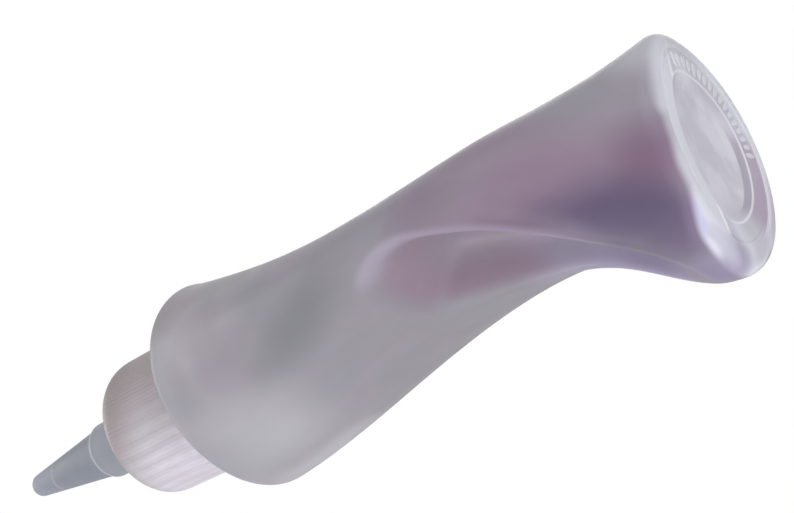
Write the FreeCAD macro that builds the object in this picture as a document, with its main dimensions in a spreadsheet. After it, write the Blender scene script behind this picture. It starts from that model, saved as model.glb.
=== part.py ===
import FreeCAD, Part
import math
import os

import Sketcher
from FreeCAD import Placement, Rotation, Vector

# A squeeze bottle that stands on its base: a soft blow-moulded bottle, pinched out of round by a
# hand, with a ribbed screw cap that clamps a long conical nozzle onto the neck.
# Millimetres. The origin is the centre of the standing ring, and +Z runs up the bottle's axis.

# name, value, what it is
SIZES = [
    ("body_radius", 29, "outside radius of the unsqueezed body"),
    ("body_height", 148.5, "where the straight wall ends and the shoulder starts"),
    ("wall", 1.0, "thickness of the blown wall"),
    ("heel_radius", 4.4, "rounding between the standing ring and the wall"),
    ("shoulder_rounding", 4.8, "rounding between the wall and the shoulder"),
    ("shoulder_slope", 32.3, "degrees that the shoulder rises from level"),
    ("neck_radius", 17.5, "outside radius of the neck"),
    ("neck_wall", 1.7, "thickness of the neck"),
    ("neck_length", 25.4, "from the top of the shoulder to the rim of the neck"),
    ("shoulder_land", 0.6, "flat between the shoulder and the neck"),
    ("ring_width", 1.2, "width of the standing ring"),
    ("base_wall", 1.4, "thickness of the base"),
    ("band_depth", 0.3, "how far the band inside the standing ring is set in"),
    ("band_width", 5.6, "width of that band"),
    ("push_up_depth", 2.6, "depth of the base at the foot of its dome"),
    ("push_up_width", 2.7, "width of the slope from the band to the dome"),
    ("dome_rise", 1.4, "further rise of the dome at its centre"),
    ("back_push", 6.5, "how far the back is pressed in at half height"),
    ("back_spread", 0.8, "power of the back's curve along the height"),
    ("front_push", 14.5, "how far the front is pressed in where it is narrowest"),
    ("front_skew", 0.7, "how much lower than half height the front is narrowest"),
    ("front_spread", 1.3, "power of the front's curve along the height"),
    ("front_rise", 49, "height over which the front's squeeze grows from the base"),
    ("side_bulge", 0.75, "share of the squeeze that goes into the width of the sides"),
    ("side_lean", 42, "degrees that the flattened section leans at its narrowest"),
    ("shoulder_oval", 0.073, "share by which the shoulder is out of round"),
    ("shoulder_oval_angle", -30, "degrees to the long way of the oval shoulder"),
    ("thumb_depth", 21.75, "depth of the thumb's dent"),
    ("thumb_angle", -95, "degrees to the middle of the dent at its tip"),
    ("thumb_height", 62.35, "height of the dent's tip"),
    ("thumb_lean", 31, "degrees that the dent leans from upright"),
    ("thumb_half_width", 19.1, "half the width of the dent"),
    ("thumb_tip_length", 14.5, "length over which the dent runs out above its tip"),
    ("thumb_length", 36.7, "length of the dent below its tip at full depth"),
    ("thumb_runout", 30, "length over which the dent runs out below that"),
    ("thumb_push_angle", 75, "degrees to the way the dent is pressed"),
    ("thumb_foot", 17.8, "height above the base over which the dent fades in"),
    ("foot_press", 11.5, "how far the foot of the bottle is pressed in"),
    ("foot_press_angle", -70, "degrees to the side of the foot that is pressed in"),
    ("foot_press_reach", 8, "how far past the axis that press is felt"),
    ("foot_press_height", 40, "height over which that press dies out"),
    ("thread_room", 1.4, "room between the neck and the cap's bore for the thread"),
    ("cap_wall", 1.0, "thickness of the cap's skirt between its ribs"),
    ("cap_top_wall", 2.0, "thickness of the cap's top"),
    ("cap_rounding", 2.5, "rounding of the cap's top edge"),
    ("cap_gap", 0.6, "gap between the cap and the shoulder"),
    ("rib_height", 0.45, "how far a rib stands out of the skirt"),
    ("rib_width", 0.7, "width of a rib at its foot"),
    ("rib_count", 110, "ribs round the cap"),
    ("rib_margin", 0.8, "plain edge below the ribs"),
    ("flange_wall", 1.2, "thickness of the nozzle's flange"),
    ("flange_inset", 0.5, "how far the flange stays inside the neck's outside"),
    ("collar_radius", 8.4, "outside radius of the nozzle's collar"),
    ("collar_length", 21.1, "length of the collar above the cap"),
    ("collar_gap", 0.1, "gap between the collar and the hole in the cap"),
    ("step_width", 0.75, "step between the collar and the cone"),
    ("cone_length", 37.4, "length of the cone above the collar"),
    ("tip_radius", 3.6, "outside radius of the closed tip"),
    ("tip_rounding", 2.4, "rounding of the tip"),
    ("tip_wall", 1.8, "thickness of the closed tip"),
    ("tip_bore", 2.0, "radius of the nozzle's bore at the tip"),
    ("nozzle_wall", 1.4, "thickness of the collar and of the foot of the cone"),
    ("cut_mark_depth", 0.25, "depth of the groove that marks where the tip is cut"),
    ("cut_mark_width", 0.8, "width of that groove"),
    ("cut_mark_drop", 12.7, "distance of that groove below the end of the tip"),
]

# name, formula, what it is
DERIVED = [
    ("ring_outer", "=body_radius - heel_radius", "outside of the standing ring"),
    ("ring_inner", "=ring_outer - ring_width", "inside of the standing ring"),
    ("band_inner", "=ring_inner - band_width", "inside of the band"),
    ("dome_radius", "=band_inner - push_up_width", "foot of the dome"),
    ("dome_top", "=push_up_depth + dome_rise", "underside of the dome's centre"),
    ("arc_height", "=body_height + shoulder_rounding * cos(shoulder_slope * 1deg)", "arc's top"),
    ("arc_inset", "=shoulder_rounding * (1 - sin(shoulder_slope * 1deg))", "arc's inset"),
    ("arc_radius", "=body_radius - arc_inset", "radius at the end of the rounding"),
    ("land_radius", "=neck_radius + shoulder_land", "radius at the top of the shoulder"),
    ("land_height", "=arc_height + (arc_radius - land_radius) * tan(shoulder_slope * 1deg)", "land"),
    ("neck_top", "=land_height + neck_length", "rim of the neck"),
    ("bore_radius", "=neck_radius - neck_wall", "bore of the neck"),
    ("cap_bore", "=neck_radius + thread_room", "bore of the cap"),
    ("cap_skirt", "=cap_bore + cap_wall", "outside of the skirt between the ribs"),
    ("rib_top", "=cap_skirt + rib_height", "radius over the ribs"),
    ("cap_foot", "=arc_height + (arc_radius - cap_bore) * tan(shoulder_slope * 1deg) + cap_gap", "foot"),
    ("flange_top", "=neck_top + flange_wall", "top of the flange, under the cap's top"),
    ("cap_top", "=flange_top + cap_top_wall", "top of the cap"),
    ("cap_edge", "=cap_top - cap_rounding", "where the cap's rounding starts"),
    ("rib_foot", "=cap_foot + rib_margin", "lower end of the ribs"),
    ("rib_length", "=cap_edge - rib_foot", "length of a rib"),
    ("cap_hole", "=collar_radius + collar_gap", "hole in the cap's top"),
    ("flange_radius", "=neck_radius - flange_inset", "outside of the flange"),
    ("collar_top", "=cap_top + collar_length", "top of the collar"),
    ("cone_radius", "=collar_radius - step_width", "foot of the cone"),
    ("tip_top", "=collar_top + cone_length", "end of the nozzle"),
    ("tip_edge", "=tip_top - tip_rounding", "where the tip's rounding starts"),
    ("cone_fall", "=(cone_radius - tip_radius) / (cone_length - tip_rounding)", "taper of the cone"),
    ("mark_top", "=tip_top - cut_mark_drop", "upper edge of the cut mark"),
    ("mark_foot", "=mark_top - cut_mark_width", "lower edge of the cut mark"),
    ("mark_top_radius", "=tip_radius + cone_fall * (tip_edge - mark_top)", "cone over the mark"),
    ("mark_foot_radius", "=tip_radius + cone_fall * (tip_edge - mark_foot)", "cone under the mark"),
    ("mark_top_floor", "=mark_top_radius - cut_mark_depth", "bottom of the mark, above"),
    ("mark_foot_floor", "=mark_foot_radius - cut_mark_depth", "bottom of the mark, below"),
    ("collar_bore", "=collar_radius - nozzle_wall", "bore of the collar"),
    ("cone_bore", "=cone_radius - nozzle_wall", "bore at the foot of the cone"),
    ("bore_end", "=tip_top - tip_wall", "closed end of the nozzle's bore"),
]

ROUND = 0.2929        # 1 - cos(45 degrees): the middle of a quarter round, as a share of its radius
POLES_ROUND = 48      # control points round the body
POLES_UP = 25         # control points up its wall
POLES_HEEL = 4        # control points over the heel
POLES_SHOULDER = 4    # control points over the shoulder's rounding
POLES_SLOPE = 4       # control points up the shoulder's slope
BASE_TURN = 10.5      # control points by which the base's seam is turned from the wall's
OVERSHOOT = 1.0       # how far a cutting solid runs past the face that it opens

doc = FreeCAD.newDocument("squeeze_bottle")
sizes = doc.addObject("Spreadsheet::Sheet", "sizes")


def fill_sheet():
    for row, (name, content, note) in enumerate(SIZES + DERIVED, start=1):
        sizes.set(f"A{row}", name)
        sizes.set(f"B{row}", str(content))
        sizes.set(f"C{row}", note)
        sizes.setAlias(f"B{row}", name)
    doc.recompute()


def value(name):
    return float(sizes.get(name))


# ---- helpers -------------------------------------------------------------------------------

def closed_sketch(sketch, points):
    """Draws a closed outline of straight lines. Each point is a pair of names from the sheet, or
    of a name and a number that it is shifted or scaled by, and each coordinate stays bound."""
    numbers = [(coordinate(across), coordinate(up)) for across, up in points]
    count = len(points)
    for first in range(count):
        start = Vector(*numbers[first], 0)
        end = Vector(*numbers[(first + 1) % count], 0)
        sketch.addGeometry(Part.LineSegment(start, end))
    for first in range(count):
        sketch.addConstraint(Sketcher.Constraint("Coincident", first, 2, (first + 1) % count, 1))
        for kind, side in (("DistanceX", 0), ("DistanceY", 1)):
            number = numbers[first][side]
            index = sketch.addConstraint(Sketcher.Constraint(kind, -1, 1, first, 1, number))
            sketch.setExpression(f"Constraints[{index}]", formula(points[first][side]))


def formula(term):
    """A name, or (name, name, share) for the first plus a share of the second."""
    if isinstance(term, str):
        return f"sizes.{term}"
    first, second, share = term
    return f"sizes.{first} + ({share}) * sizes.{second}"


def coordinate(term):
    if isinstance(term, str):
        return value(term)
    first, second, share = term
    return value(first) + share * value(second)


def turned(label, points):
    """A body turned about the axis from one closed outline of (radius, height)."""
    body = doc.addObject("PartDesign::Body", label)
    body.Label = label
    sketch = body.newObject("Sketcher::SketchObject", label + "_outline")
    sketch.AttachmentSupport = (plane(body, "XZ_Plane"), [""])
    sketch.MapMode = "FlatFace"
    closed_sketch(sketch, points)
    turn = body.newObject("PartDesign::Revolution", label + "_turned")
    turn.Profile = sketch
    turn.ReferenceAxis = (sketch, ["V_Axis"])
    turn.Angle = 360
    doc.recompute()
    return body


def plane(body, role):
    return next(feature for feature in body.Origin.OriginFeatures if feature.Role == role)


# ---- bottle --------------------------------------------------------------------------------

def smooth(share):
    share = min(max(share, 0.0), 1.0)
    return share * share * (3 - 2 * share)


def pressed(angle, height, radius):
    """Where the squeeze moves the point of the round bottle at this angle, height and radius."""
    body = value_table["body_radius"]
    share = min(max(height / value_table["body_height"], 0.0), 1.0)
    back = value_table["back_push"] * math.sin(math.pi * share) ** value_table["back_spread"]
    crest = math.sin(math.pi * share ** value_table["front_skew"])
    front = value_table["front_push"] * max(crest, 0.0) ** value_table["front_spread"]
    front *= smooth(height / value_table["front_rise"])
    narrower = (back + front) / 2
    squeeze = narrower * 2 / (value_table["back_push"] + value_table["front_push"])
    lean = math.radians(value_table["side_lean"]) * squeeze
    long_way = math.radians(value_table["shoulder_oval_angle"])
    inward = (radius - value_table["cap_skirt"]) / (value_table["arc_radius"] - value_table["cap_skirt"])
    oval = value_table["shoulder_oval"] * smooth((share - 0.55) / 0.4) * min(max(inward, 0.0), 1.0)
    stretch = 1 + oval * math.cos(2 * (angle - long_way))
    across = radius * stretch * (1 - narrower / body) * math.cos(angle) + (front - back) / 2
    bulge = 1 + value_table["side_bulge"] * narrower / body
    deep = radius * stretch * bulge * math.sin(angle - lean)
    dent = thumb_dent(angle, height, share)
    push = math.radians(value_table["thumb_push_angle"])
    across += dent * math.cos(push)
    deep += dent * math.sin(push)
    inward = foot_press(across, deep, height)
    side = math.radians(value_table["foot_press_angle"])
    return Vector(across - inward * math.cos(side), deep - inward * math.sin(side), height)


def foot_press(across, deep, height):
    """How far the foot is pressed in here, most at its near side and at the base."""
    side = math.radians(value_table["foot_press_angle"])
    reach = value_table["foot_press_reach"]
    near = across * math.cos(side) + deep * math.sin(side)
    felt = smooth((near + reach) / (value_table["body_radius"] + reach))
    return value_table["foot_press"] * felt * (1 - smooth(height / value_table["foot_press_height"]))


def thumb_dent(angle, height, share):
    """Depth of the thumb's dent, a long oval hollow that leans across the front."""
    turn = angle - math.radians(value_table["thumb_angle"])
    arc = value_table["body_radius"] * (math.remainder(turn, 2 * math.pi))
    rise = height - value_table["thumb_height"]
    lean = math.radians(value_table["thumb_lean"])
    below = -rise * math.cos(lean) - arc * math.sin(lean)
    beside = arc * math.cos(lean) - rise * math.sin(lean)
    past = 0.0
    if below < 0:
        past = -below / value_table["thumb_tip_length"]
    elif below > value_table["thumb_length"]:
        past = (below - value_table["thumb_length"]) / value_table["thumb_runout"]
    reach = (beside / value_table["thumb_half_width"]) ** 2 + past ** 2
    fade = smooth(height / value_table["thumb_foot"]) * smooth((1 - share) * 10)
    return value_table["thumb_depth"] * max(1 - reach, 0.0) ** 2 * fade


def bottle_outline():
    """The round bottle's outline from the standing ring to the neck, as (height, radius)."""
    heel = value_table["heel_radius"]
    round_off = value_table["shoulder_rounding"]
    slope = math.radians(value_table["shoulder_slope"])
    points = []
    for step in range(POLES_HEEL):
        turn = math.radians(90) * step / POLES_HEEL
        points.append((heel * (1 - math.cos(turn)), value_table["ring_outer"] + heel * math.sin(turn)))
    for step in range(POLES_UP):
        height = heel + (value_table["body_height"] - heel) * step / POLES_UP
        points.append((height, value_table["body_radius"]))
    for step in range(POLES_SHOULDER):
        turn = (math.radians(90) - slope) * step / POLES_SHOULDER
        inset = round_off * (1 - math.cos(turn))
        points.append((value_table["body_height"] + round_off * math.sin(turn),
                       value_table["body_radius"] - inset))
    for step in range(POLES_SLOPE + 1):
        share = step / POLES_SLOPE
        radius = value_table["arc_radius"] * (1 - share) + value_table["land_radius"] * share
        height = value_table["arc_height"] * (1 - share) + value_table["land_height"] * share
        points.append((height, radius))
    return points


def base_outline(rim, wall):
    """Rows over the base from under the table to the middle of its dome, as (height, radius)."""
    band = value_table["band_depth"] + wall
    foot = value_table["push_up_depth"] + wall
    top = value_table["dome_top"] + wall
    inner = value_table["band_inner"] + wall
    dome = value_table["dome_radius"] + wall
    return [
        (-OVERSHOOT, rim), (band, rim), (band, inner), (foot, dome),
        (foot + (top - foot) * 0.45, dome * 0.75), (foot + (top - foot) * 0.8, dome * 0.5),
        (top, dome * 0.1)]


def pressed_grid(outline, level=None):
    """Control points of a pressed surface. They stand a little outside it, so that its radius
    comes out as asked. With a level, all its rows are pressed as the bottle is at that height,
    and its seam is kept away from the wall's."""
    turn = 0 if level is None else BASE_TURN
    angles = [2 * math.pi * (step + turn) / POLES_ROUND for step in range(POLES_ROUND)]
    outset = 3 / (2 + math.cos(2 * math.pi / POLES_ROUND))
    grid = []
    for height, radius in outline:
        at = height if level is None else level
        row = [pressed(angle, at, radius * outset) for angle in angles]
        grid.append([Vector(point.x, point.y, height) for point in row])
    return grid


def inner_grid(grid, wall):
    """The grid moved inwards by the wall, square to the surface."""
    rows = len(grid)
    inner = []
    for row in range(rows):
        below = grid[max(row - 1, 0)]
        above = grid[min(row + 1, rows - 1)]
        line = []
        for step in range(POLES_ROUND):
            around = grid[row][(step + 1) % POLES_ROUND] - grid[row][step - 1]
            outward = around.cross(above[step] - below[step]).normalize()
            line.append(grid[row][step] - outward * wall)
        inner.append(line)
    for end in (0, -1):
        level = sum(point.z for point in inner[end]) / POLES_ROUND
        inner[end] = [Vector(point.x, point.y, level) for point in inner[end]]
    return inner


def skinned(grid):
    """A solid bounded by one smooth closed surface through the grid and two flat ends."""
    degree = 3
    rows = len(grid)
    surface = Part.BSplineSurface()
    spans = rows - degree
    surface.buildFromPolesMultsKnots(
        grid,
        [degree + 1] + [1] * (spans - 1) + [degree + 1],
        [1] * (POLES_ROUND + 1),
        list(range(spans + 1)),
        list(range(POLES_ROUND + 1)),
        False, True, degree, degree)
    side = surface.toShape()
    ends = [edge for edge in side.Edges if edge.isClosed() and edge.BoundBox.ZLength < 0.01]
    lids = [Part.Face(Part.Wire(edge)) for edge in ends]
    shell = Part.Shell([side] + lids)
    shell.sewShape()
    solid = Part.Solid(shell)
    if solid.Volume < 0:
        solid.reverse()
    return solid


def layered(grid):
    """A solid with one smooth ring for each row of the grid and straight walls between them."""
    rings = []
    for row in grid:
        ring = Part.BSplineCurve()
        ring.buildFromPolesMultsKnots(
            row, [1] * (POLES_ROUND + 1), list(range(POLES_ROUND + 1)), True, 3)
        rings.append(Part.Wire(ring.toShape()))
    return Part.makeLoft(rings, True, True)


def feature(name, shape):
    item = doc.addObject("Part::Feature", name)
    item.Shape = shape
    return item


def cylinder(name, radius, foot, top, overshoot):
    item = doc.addObject("Part::Cylinder", name)
    item.setExpression("Radius", f"sizes.{radius}")
    item.setExpression("Height", f"sizes.{top} - sizes.{foot} + {overshoot}")
    item.setExpression("Placement.Base.z", f"sizes.{foot}")
    return item


def build_bottle():
    grid = pressed_grid(bottle_outline())
    outer = feature("bottle_outside", skinned(grid))
    inner = feature("bottle_inside", skinned(inner_grid(grid, value_table["wall"])))
    neck = cylinder("neck", "neck_radius", "arc_height", "neck_top", 0)
    bore = cylinder("neck_bore", "bore_radius", "arc_height", "neck_top", OVERSHOOT)
    underside = base_outline(value_table["ring_inner"], 0)
    recess = feature("base_recess", layered(pressed_grid(underside, 0)))
    topside = base_outline(value_table["body_radius"], value_table["base_wall"])
    floor = feature("base_floor", layered(pressed_grid(topside, 0)))
    outside = doc.addObject("Part::Fuse", "bottle_and_neck")
    outside.Base = outer
    outside.Tool = neck
    hollow = doc.addObject("Part::Cut", "hollow_over_base")
    hollow.Base = inner
    hollow.Tool = floor
    hollow_and_bore = doc.addObject("Part::Fuse", "hollow_and_bore")
    hollow_and_bore.Base = hollow
    hollow_and_bore.Tool = bore
    shell = doc.addObject("Part::Cut", "bottle_shell")
    shell.Base = outside
    shell.Tool = hollow_and_bore
    bottle = doc.addObject("Part::Cut", "bottle")
    bottle.Base = shell
    bottle.Tool = recess
    bottle.Label = "bottle"
    doc.recompute()
    return bottle


# ---- cap and nozzle ------------------------------------------------------------------------

def build_cap():
    cap = turned("cap", [
        ("cap_bore", "cap_foot"), ("cap_skirt", "cap_foot"), ("cap_skirt", "cap_edge"),
        (("cap_skirt", "cap_rounding", -ROUND), ("cap_top", "cap_rounding", -ROUND)),
        (("cap_skirt", "cap_rounding", -1), "cap_top"),
        ("cap_hole", "cap_top"), ("cap_hole", "flange_top"), ("cap_bore", "flange_top")])
    sketch = cap.newObject("Sketcher::SketchObject", "rib_section")
    sketch.AttachmentSupport = (plane(cap, "XY_Plane"), [""])
    sketch.MapMode = "FlatFace"
    sketch.setExpression("AttachmentOffset.Base.z", "sizes.rib_foot")
    closed_sketch(sketch, [
        (("cap_skirt", "cap_wall", -0.5), ("zero", "rib_width", -0.5)),
        ("cap_skirt", ("zero", "rib_width", -0.5)),
        ("rib_top", ("zero", "rib_width", -0.2)),
        ("rib_top", ("zero", "rib_width", 0.2)),
        ("cap_skirt", ("zero", "rib_width", 0.5)),
        (("cap_skirt", "cap_wall", -0.5), ("zero", "rib_width", 0.5))])
    rib = cap.newObject("PartDesign::Pad", "rib")
    rib.Profile = sketch
    rib.setExpression("Length", "sizes.rib_length")
    doc.recompute()
    ribs = cap.newObject("PartDesign::PolarPattern", "ribs")
    ribs.Originals = [rib]
    ribs.Axis = (sketch, ["N_Axis"])
    ribs.Angle = 360
    ribs.setExpression("Occurrences", "sizes.rib_count")
    cap.Tip = ribs
    doc.recompute()
    return cap


def build_nozzle():
    return turned("nozzle", [
        ("collar_bore", "neck_top"), ("flange_radius", "neck_top"), ("flange_radius", "flange_top"),
        ("collar_radius", "flange_top"), ("collar_radius", "collar_top"),
        ("cone_radius", "collar_top"),
        ("mark_foot_radius", "mark_foot"), ("mark_foot_floor", "mark_foot"),
        ("mark_top_floor", "mark_top"), ("mark_top_radius", "mark_top"),
        ("tip_radius", "tip_edge"),
        (("tip_radius", "tip_rounding", -ROUND), ("tip_top", "tip_rounding", -ROUND)),
        (("tip_radius", "tip_rounding", -1), "tip_top"),
        ("zero", "tip_top"), ("zero", "bore_end"), ("tip_bore", "bore_end"),
        ("cone_bore", "collar_top"), ("collar_bore", "cap_top")])


# ---- build and write -----------------------------------------------------------------------

def write_out(nodes):
    for item in doc.Objects:
        if "Invalid" in item.State or "Error" in item.State:
            raise RuntimeError(f"{item.Label} did not build: {item.State}")
    for node in nodes:
        shape = node.Shape
        if shape.isNull() or not shape.isValid() or len(shape.Solids) != 1:
            raise RuntimeError(f"{node.Label} is not one valid solid")
    os.makedirs("parts", exist_ok=True)
    for node in nodes:
        node.Shape.exportStep(os.path.join("parts", node.Label + ".step"))
        print(f"{node.Label}: {node.Shape.Volume / 1000:.2f} cm3")


DERIVED += [("zero", "=0", "the axis, and the table")]
fill_sheet()
value_table = {name: value(name) for name, _, _ in SIZES + DERIVED}
write_out([build_bottle(), build_cap(), build_nozzle()])
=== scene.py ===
import math

import bmesh
import bpy
import numpy as np
from mathutils import Matrix, Vector


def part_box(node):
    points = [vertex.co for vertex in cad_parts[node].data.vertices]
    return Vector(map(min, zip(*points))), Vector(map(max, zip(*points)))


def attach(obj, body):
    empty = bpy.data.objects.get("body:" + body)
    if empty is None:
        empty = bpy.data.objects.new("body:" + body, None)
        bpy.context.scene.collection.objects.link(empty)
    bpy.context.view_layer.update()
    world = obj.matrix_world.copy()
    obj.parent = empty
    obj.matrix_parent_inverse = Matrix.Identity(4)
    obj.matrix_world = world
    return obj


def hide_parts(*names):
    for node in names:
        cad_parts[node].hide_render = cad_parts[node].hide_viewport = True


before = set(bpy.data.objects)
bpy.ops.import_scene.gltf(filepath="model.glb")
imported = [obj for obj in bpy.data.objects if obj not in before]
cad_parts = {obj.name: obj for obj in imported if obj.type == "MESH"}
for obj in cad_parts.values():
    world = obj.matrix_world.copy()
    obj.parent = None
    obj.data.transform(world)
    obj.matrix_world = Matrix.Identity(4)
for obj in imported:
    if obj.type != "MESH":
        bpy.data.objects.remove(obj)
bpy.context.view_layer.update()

mm = 0.001
print("frame loaded:", ", ".join(sorted(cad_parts)))


def screenColour(red, green, blue):
    linear = []
    for part in (red, green, blue):
        share = part / 255
        linear.append(share / 12.92 if share <= 0.04045 else ((share + 0.055) / 1.055) ** 2.4)
    return (*linear, 1.0)


def smooth(share):
    share = np.clip(share, 0, 1)
    return share * share * (3 - 2 * share)


def stepsTo(start, end, count):
    # count even steps, without the start itself
    return np.linspace(start, end, count + 1)[1:]


def softCorners(corners, loop=False):
    # corners are (radius, height, rounding); a rounding of 0 keeps the corner as it is
    points = []
    count = len(corners)
    arcSteps = 5
    for index, (radius, height, rounding) in enumerate(corners):
        here = np.array((radius, height), float)
        if rounding == 0 or (not loop and index in (0, count - 1)):
            points.append(here)
            continue
        before = np.array(corners[index - 1][:2], float) - here
        after = np.array(corners[(index + 1) % count][:2], float) - here
        before /= np.linalg.norm(before)
        after /= np.linalg.norm(after)
        half = math.acos(np.clip(before @ after, -1, 1)) / 2
        middle = (before + after) / np.linalg.norm(before + after)
        centre = here + middle * rounding / math.sin(half)
        first = here + before * rounding / math.tan(half) - centre
        last = here + after * rounding / math.tan(half) - centre
        sweep = math.pi - 2 * half
        for step in range(arcSteps + 1):
            share = step / arcSteps
            points.append(centre + (math.sin((1 - share) * sweep) * first
                                    + math.sin(share * sweep) * last) / math.sin(sweep))
    return points


def divided(points, longest, thread=None, loop=False):
    # long runs are cut up, and more closely on the wall that a thread is raised on
    rows = []
    ends = points[1:] + ([points[0]] if loop else [])
    for start, end in zip(points, ends):
        low, high = sorted((start[1], end[1]))
        threaded = (thread and low < thread["to"] and high > thread["from"]
                    and high - low > thread["rows"] and abs(start[0] - thread["radius"]) < 0.1)
        spacing = thread["rows"] if threaded else longest
        pieces = max(1, math.ceil(np.linalg.norm(end - start) / spacing))
        rows += [start + (end - start) * step / pieces for step in range(pieces)]
    if not loop:
        rows.append(points[-1])
    return rows


def ringOf(radius, height, columns):
    turns = np.arange(columns) * 2 * math.pi / columns
    flat = np.zeros(columns)
    return np.stack([radius * np.cos(turns), radius * np.sin(turns), flat + height, flat, flat,
                     flat + 3, flat + radius], 1)


def meshFromRings(name, rings, insideFrom, poles=None):
    # rings in mm; with poles the two ends close in a point, without them the last meets the first.
    # The map named surface holds the turn round the axis and the height. Columns after the third
    # are kept too: how deep the thumb goes, which side of the dent it is, how near its rim, and
    # the radius before the squeeze.
    columns = len(rings[0])
    count = len(rings)
    points = np.concatenate(rings)
    step = np.arange(columns)
    ahead = (step + 1) % columns
    faces = []
    for row in range(count - 1 if poles else count):
        low, high = row * columns, (row + 1) % count * columns
        faces += np.stack([low + step, low + ahead, high + ahead, high + step], 1).tolist()
    hollow = np.repeat(np.arange(count) >= insideFrom, columns).astype(float)
    if poles:
        points = np.concatenate([points, np.array([(*pole, 0, 0, 3, 0) for pole in poles], float)])
        hollow = np.append(hollow, [0, 1])
        firstPole, lastPole = count * columns, count * columns + 1
        last = (count - 1) * columns
        faces += [[firstPole, int(b), int(a)] for a, b in zip(step, ahead)]
        faces += [[lastPole, int(last + a), int(last + b)] for a, b in zip(step, ahead)]
    mesh = bpy.data.meshes.new(name)
    mesh.from_pydata((points[:, :3] * mm).tolist(), [], faces)
    for label, content in (("dent", points[:, 3]), ("flank", points[:, 4]), ("rim", points[:, 5]),
                           ("reach", points[:, 6]), ("inside", hollow)):
        mesh.attributes.new(label, "FLOAT", "POINT").data.foreach_set("value", content)
    around = np.tile(np.array([0, 1, 1, 0]), columns) + np.repeat(step, 4)
    across = np.tile(around, count - 1 if poles else count)
    spare = len(mesh.loops) - len(across)
    turned = np.concatenate([across, np.full(spare, 0)]) / columns
    level = points[[loop.vertex_index for loop in mesh.loops], 2] * mm
    surface = np.stack([turned, level], 1).ravel()
    mesh.uv_layers.new(name="surface").uv.foreach_set("vector", surface)
    sheet = bmesh.new()
    sheet.from_mesh(mesh)
    bmesh.ops.recalc_face_normals(sheet, faces=sheet.faces)
    sheet.to_mesh(mesh)
    sheet.free()
    return mesh


def linked(name, data):
    thing = bpy.data.objects.new(name, data)
    bpy.context.scene.collection.objects.link(thing)
    return thing


def newPiece(name, mesh, material):
    mesh.materials.append(material)
    return linked(name, mesh)


def bakedNodes(piece, name):
    # the evaluated result becomes a plain mesh, and the modifier goes with the first object
    bpy.context.view_layer.update()
    seen = piece.evaluated_get(bpy.context.evaluated_depsgraph_get())
    mesh = bpy.data.meshes.new_from_object(seen)
    mesh.name = name
    bpy.data.objects.remove(piece)
    return linked(name, mesh)


def lineInside(piece, material):
    # the faces towards the hollow get the clearer finish
    mesh = piece.data
    mesh.materials.append(material)
    marked = np.zeros(len(mesh.vertices))
    mesh.attributes["inside"].data.foreach_get("value", marked)
    corners = np.zeros(len(mesh.loops), int)
    mesh.loops.foreach_get("vertex_index", corners)
    starts = np.zeros(len(mesh.polygons), int)
    mesh.polygons.foreach_get("loop_start", starts)
    chosen = np.minimum.reduceat(marked[corners], starts) > 0.5
    mesh.polygons.foreach_set("material_index", chosen.astype(int))
    mesh.attributes.remove(mesh.attributes["inside"])


def smoothShading(piece, degrees):
    piece.data.polygons.foreach_set("use_smooth", [True] * len(piece.data.polygons))
    piece.data.set_sharp_from_angle(angle=math.radians(degrees))


class Nodes:
    # a short way to write a node tree

    def __init__(self, tree):
        self.tree = tree

    def add(self, kind, *sockets, named=None, **settings):
        # sockets fill the inputs in their order, and named fills them by name or number
        made = self.tree.nodes.new(kind)
        for key, content in settings.items():
            setattr(made, key, content)
        for key, content in [*enumerate(sockets), *(named or {}).items()]:
            if isinstance(content, bpy.types.NodeSocket):
                self.tree.links.new(content, made.inputs[key])
            else:
                made.inputs[key].default_value = content
        return made

    def maths(self, operation, *sockets):
        return self.add("ShaderNodeMath", *sockets, operation=operation).outputs[0]

    def times(self, product, *others):
        for other in others:
            product = self.maths("MULTIPLY", product, other)
        return product

    def scaled(self, content, factor, added):
        return self.maths("MULTIPLY_ADD", content, factor, added)

    def minus(self, content, other):
        return self.maths("SUBTRACT", content, other)

    def vector(self, operation, *sockets):
        made = self.add("ShaderNodeVectorMath", *sockets, operation=operation)
        return made.outputs["Value" if operation == "LENGTH" else "Vector"]

    def softStep(self, content, start, end):
        made = self.add("ShaderNodeMapRange", content, start, end, 0.0, 1.0,
                        interpolation_type="SMOOTHSTEP")
        return made.outputs[0]

    def axes(self, place):
        return self.add("ShaderNodeSeparateXYZ", place).outputs

    def attribute(self, name):
        return self.add("ShaderNodeAttribute", attribute_name=name).outputs["Fac"]

    def turnAround(self):
        # how far round the axis a point is, from 0 to 1
        return self.axes(self.add("ShaderNodeUVMap", uv_map="surface").outputs[0])["X"]


def newTree(name, labels):
    # a geometry tree with a number input for each label
    tree = bpy.data.node_groups.new(name, "GeometryNodeTree")
    tree.interface.new_socket("Geometry", in_out="INPUT", socket_type="NodeSocketGeometry")
    for label in labels:
        tree.interface.new_socket(label, in_out="INPUT", socket_type="NodeSocketFloat")
    tree.interface.new_socket("Geometry", in_out="OUTPUT", socket_type="NodeSocketGeometry")
    nodes = Nodes(tree)
    return nodes, nodes.add("NodeGroupInput").outputs


def endTree(nodes, geometry, material):
    real = nodes.add("GeometryNodeRealizeInstances", geometry).outputs[0]
    painted = nodes.add("GeometryNodeSetMaterial", real, named={"Material": material})
    nodes.add("NodeGroupOutput", painted.outputs[0])
    return nodes.tree


def endRaised(nodes, geometry, outward, lift, material):
    # the surface is moved outwards by lift before the tree ends
    shift = nodes.add("ShaderNodeVectorMath", outward, named={"Scale": lift}, operation="SCALE")
    moved = nodes.add("GeometryNodeSetPosition", geometry, named={"Offset": shift.outputs[0]})
    return endTree(nodes, moved.outputs[0], material)


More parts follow.
